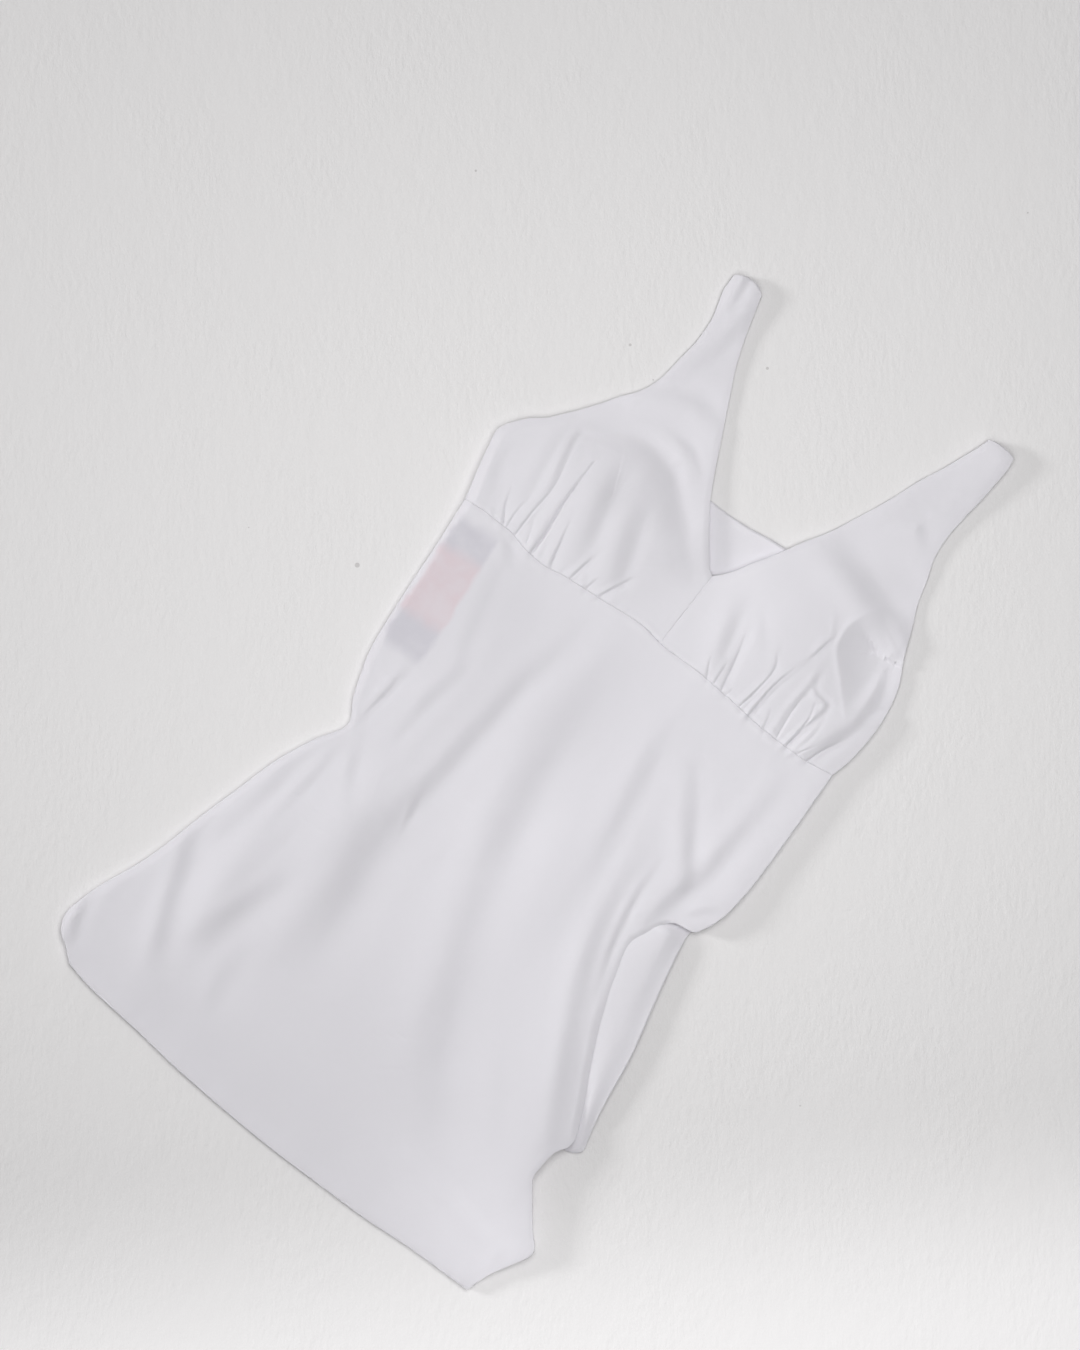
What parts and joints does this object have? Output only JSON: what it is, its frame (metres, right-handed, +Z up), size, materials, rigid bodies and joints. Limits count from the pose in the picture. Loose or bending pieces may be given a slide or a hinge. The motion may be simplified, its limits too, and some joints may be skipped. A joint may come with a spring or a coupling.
{
  "type": "house dress, laid flat",
  "caption": "Short sleeveless house dress laid flat, with a V neck, gathered bust pieces cut in one with the straps, and a plain flared skirt",
  "frame": {"origin": "on the surface that the dress lies on, below the middle of its bounding box", "axes": "+Y from the hem to the straps, +X to the right as seen from above with the straps at the top, +Z up out of the front"},
  "size_m": [0.489, 0.8499, 0.0252],
  "materials": {
    "cloth": "soft matt white cloth with a faint cool cast",
    "label": "thin plain pale grey tape"
  },
  "bodies": {
    "root": {"front_bust_left": "cloth", "front_bust_right": "cloth", "front_skirt": "cloth", "back": "cloth", "side_label": "label"}
  },
  "joints": []
}
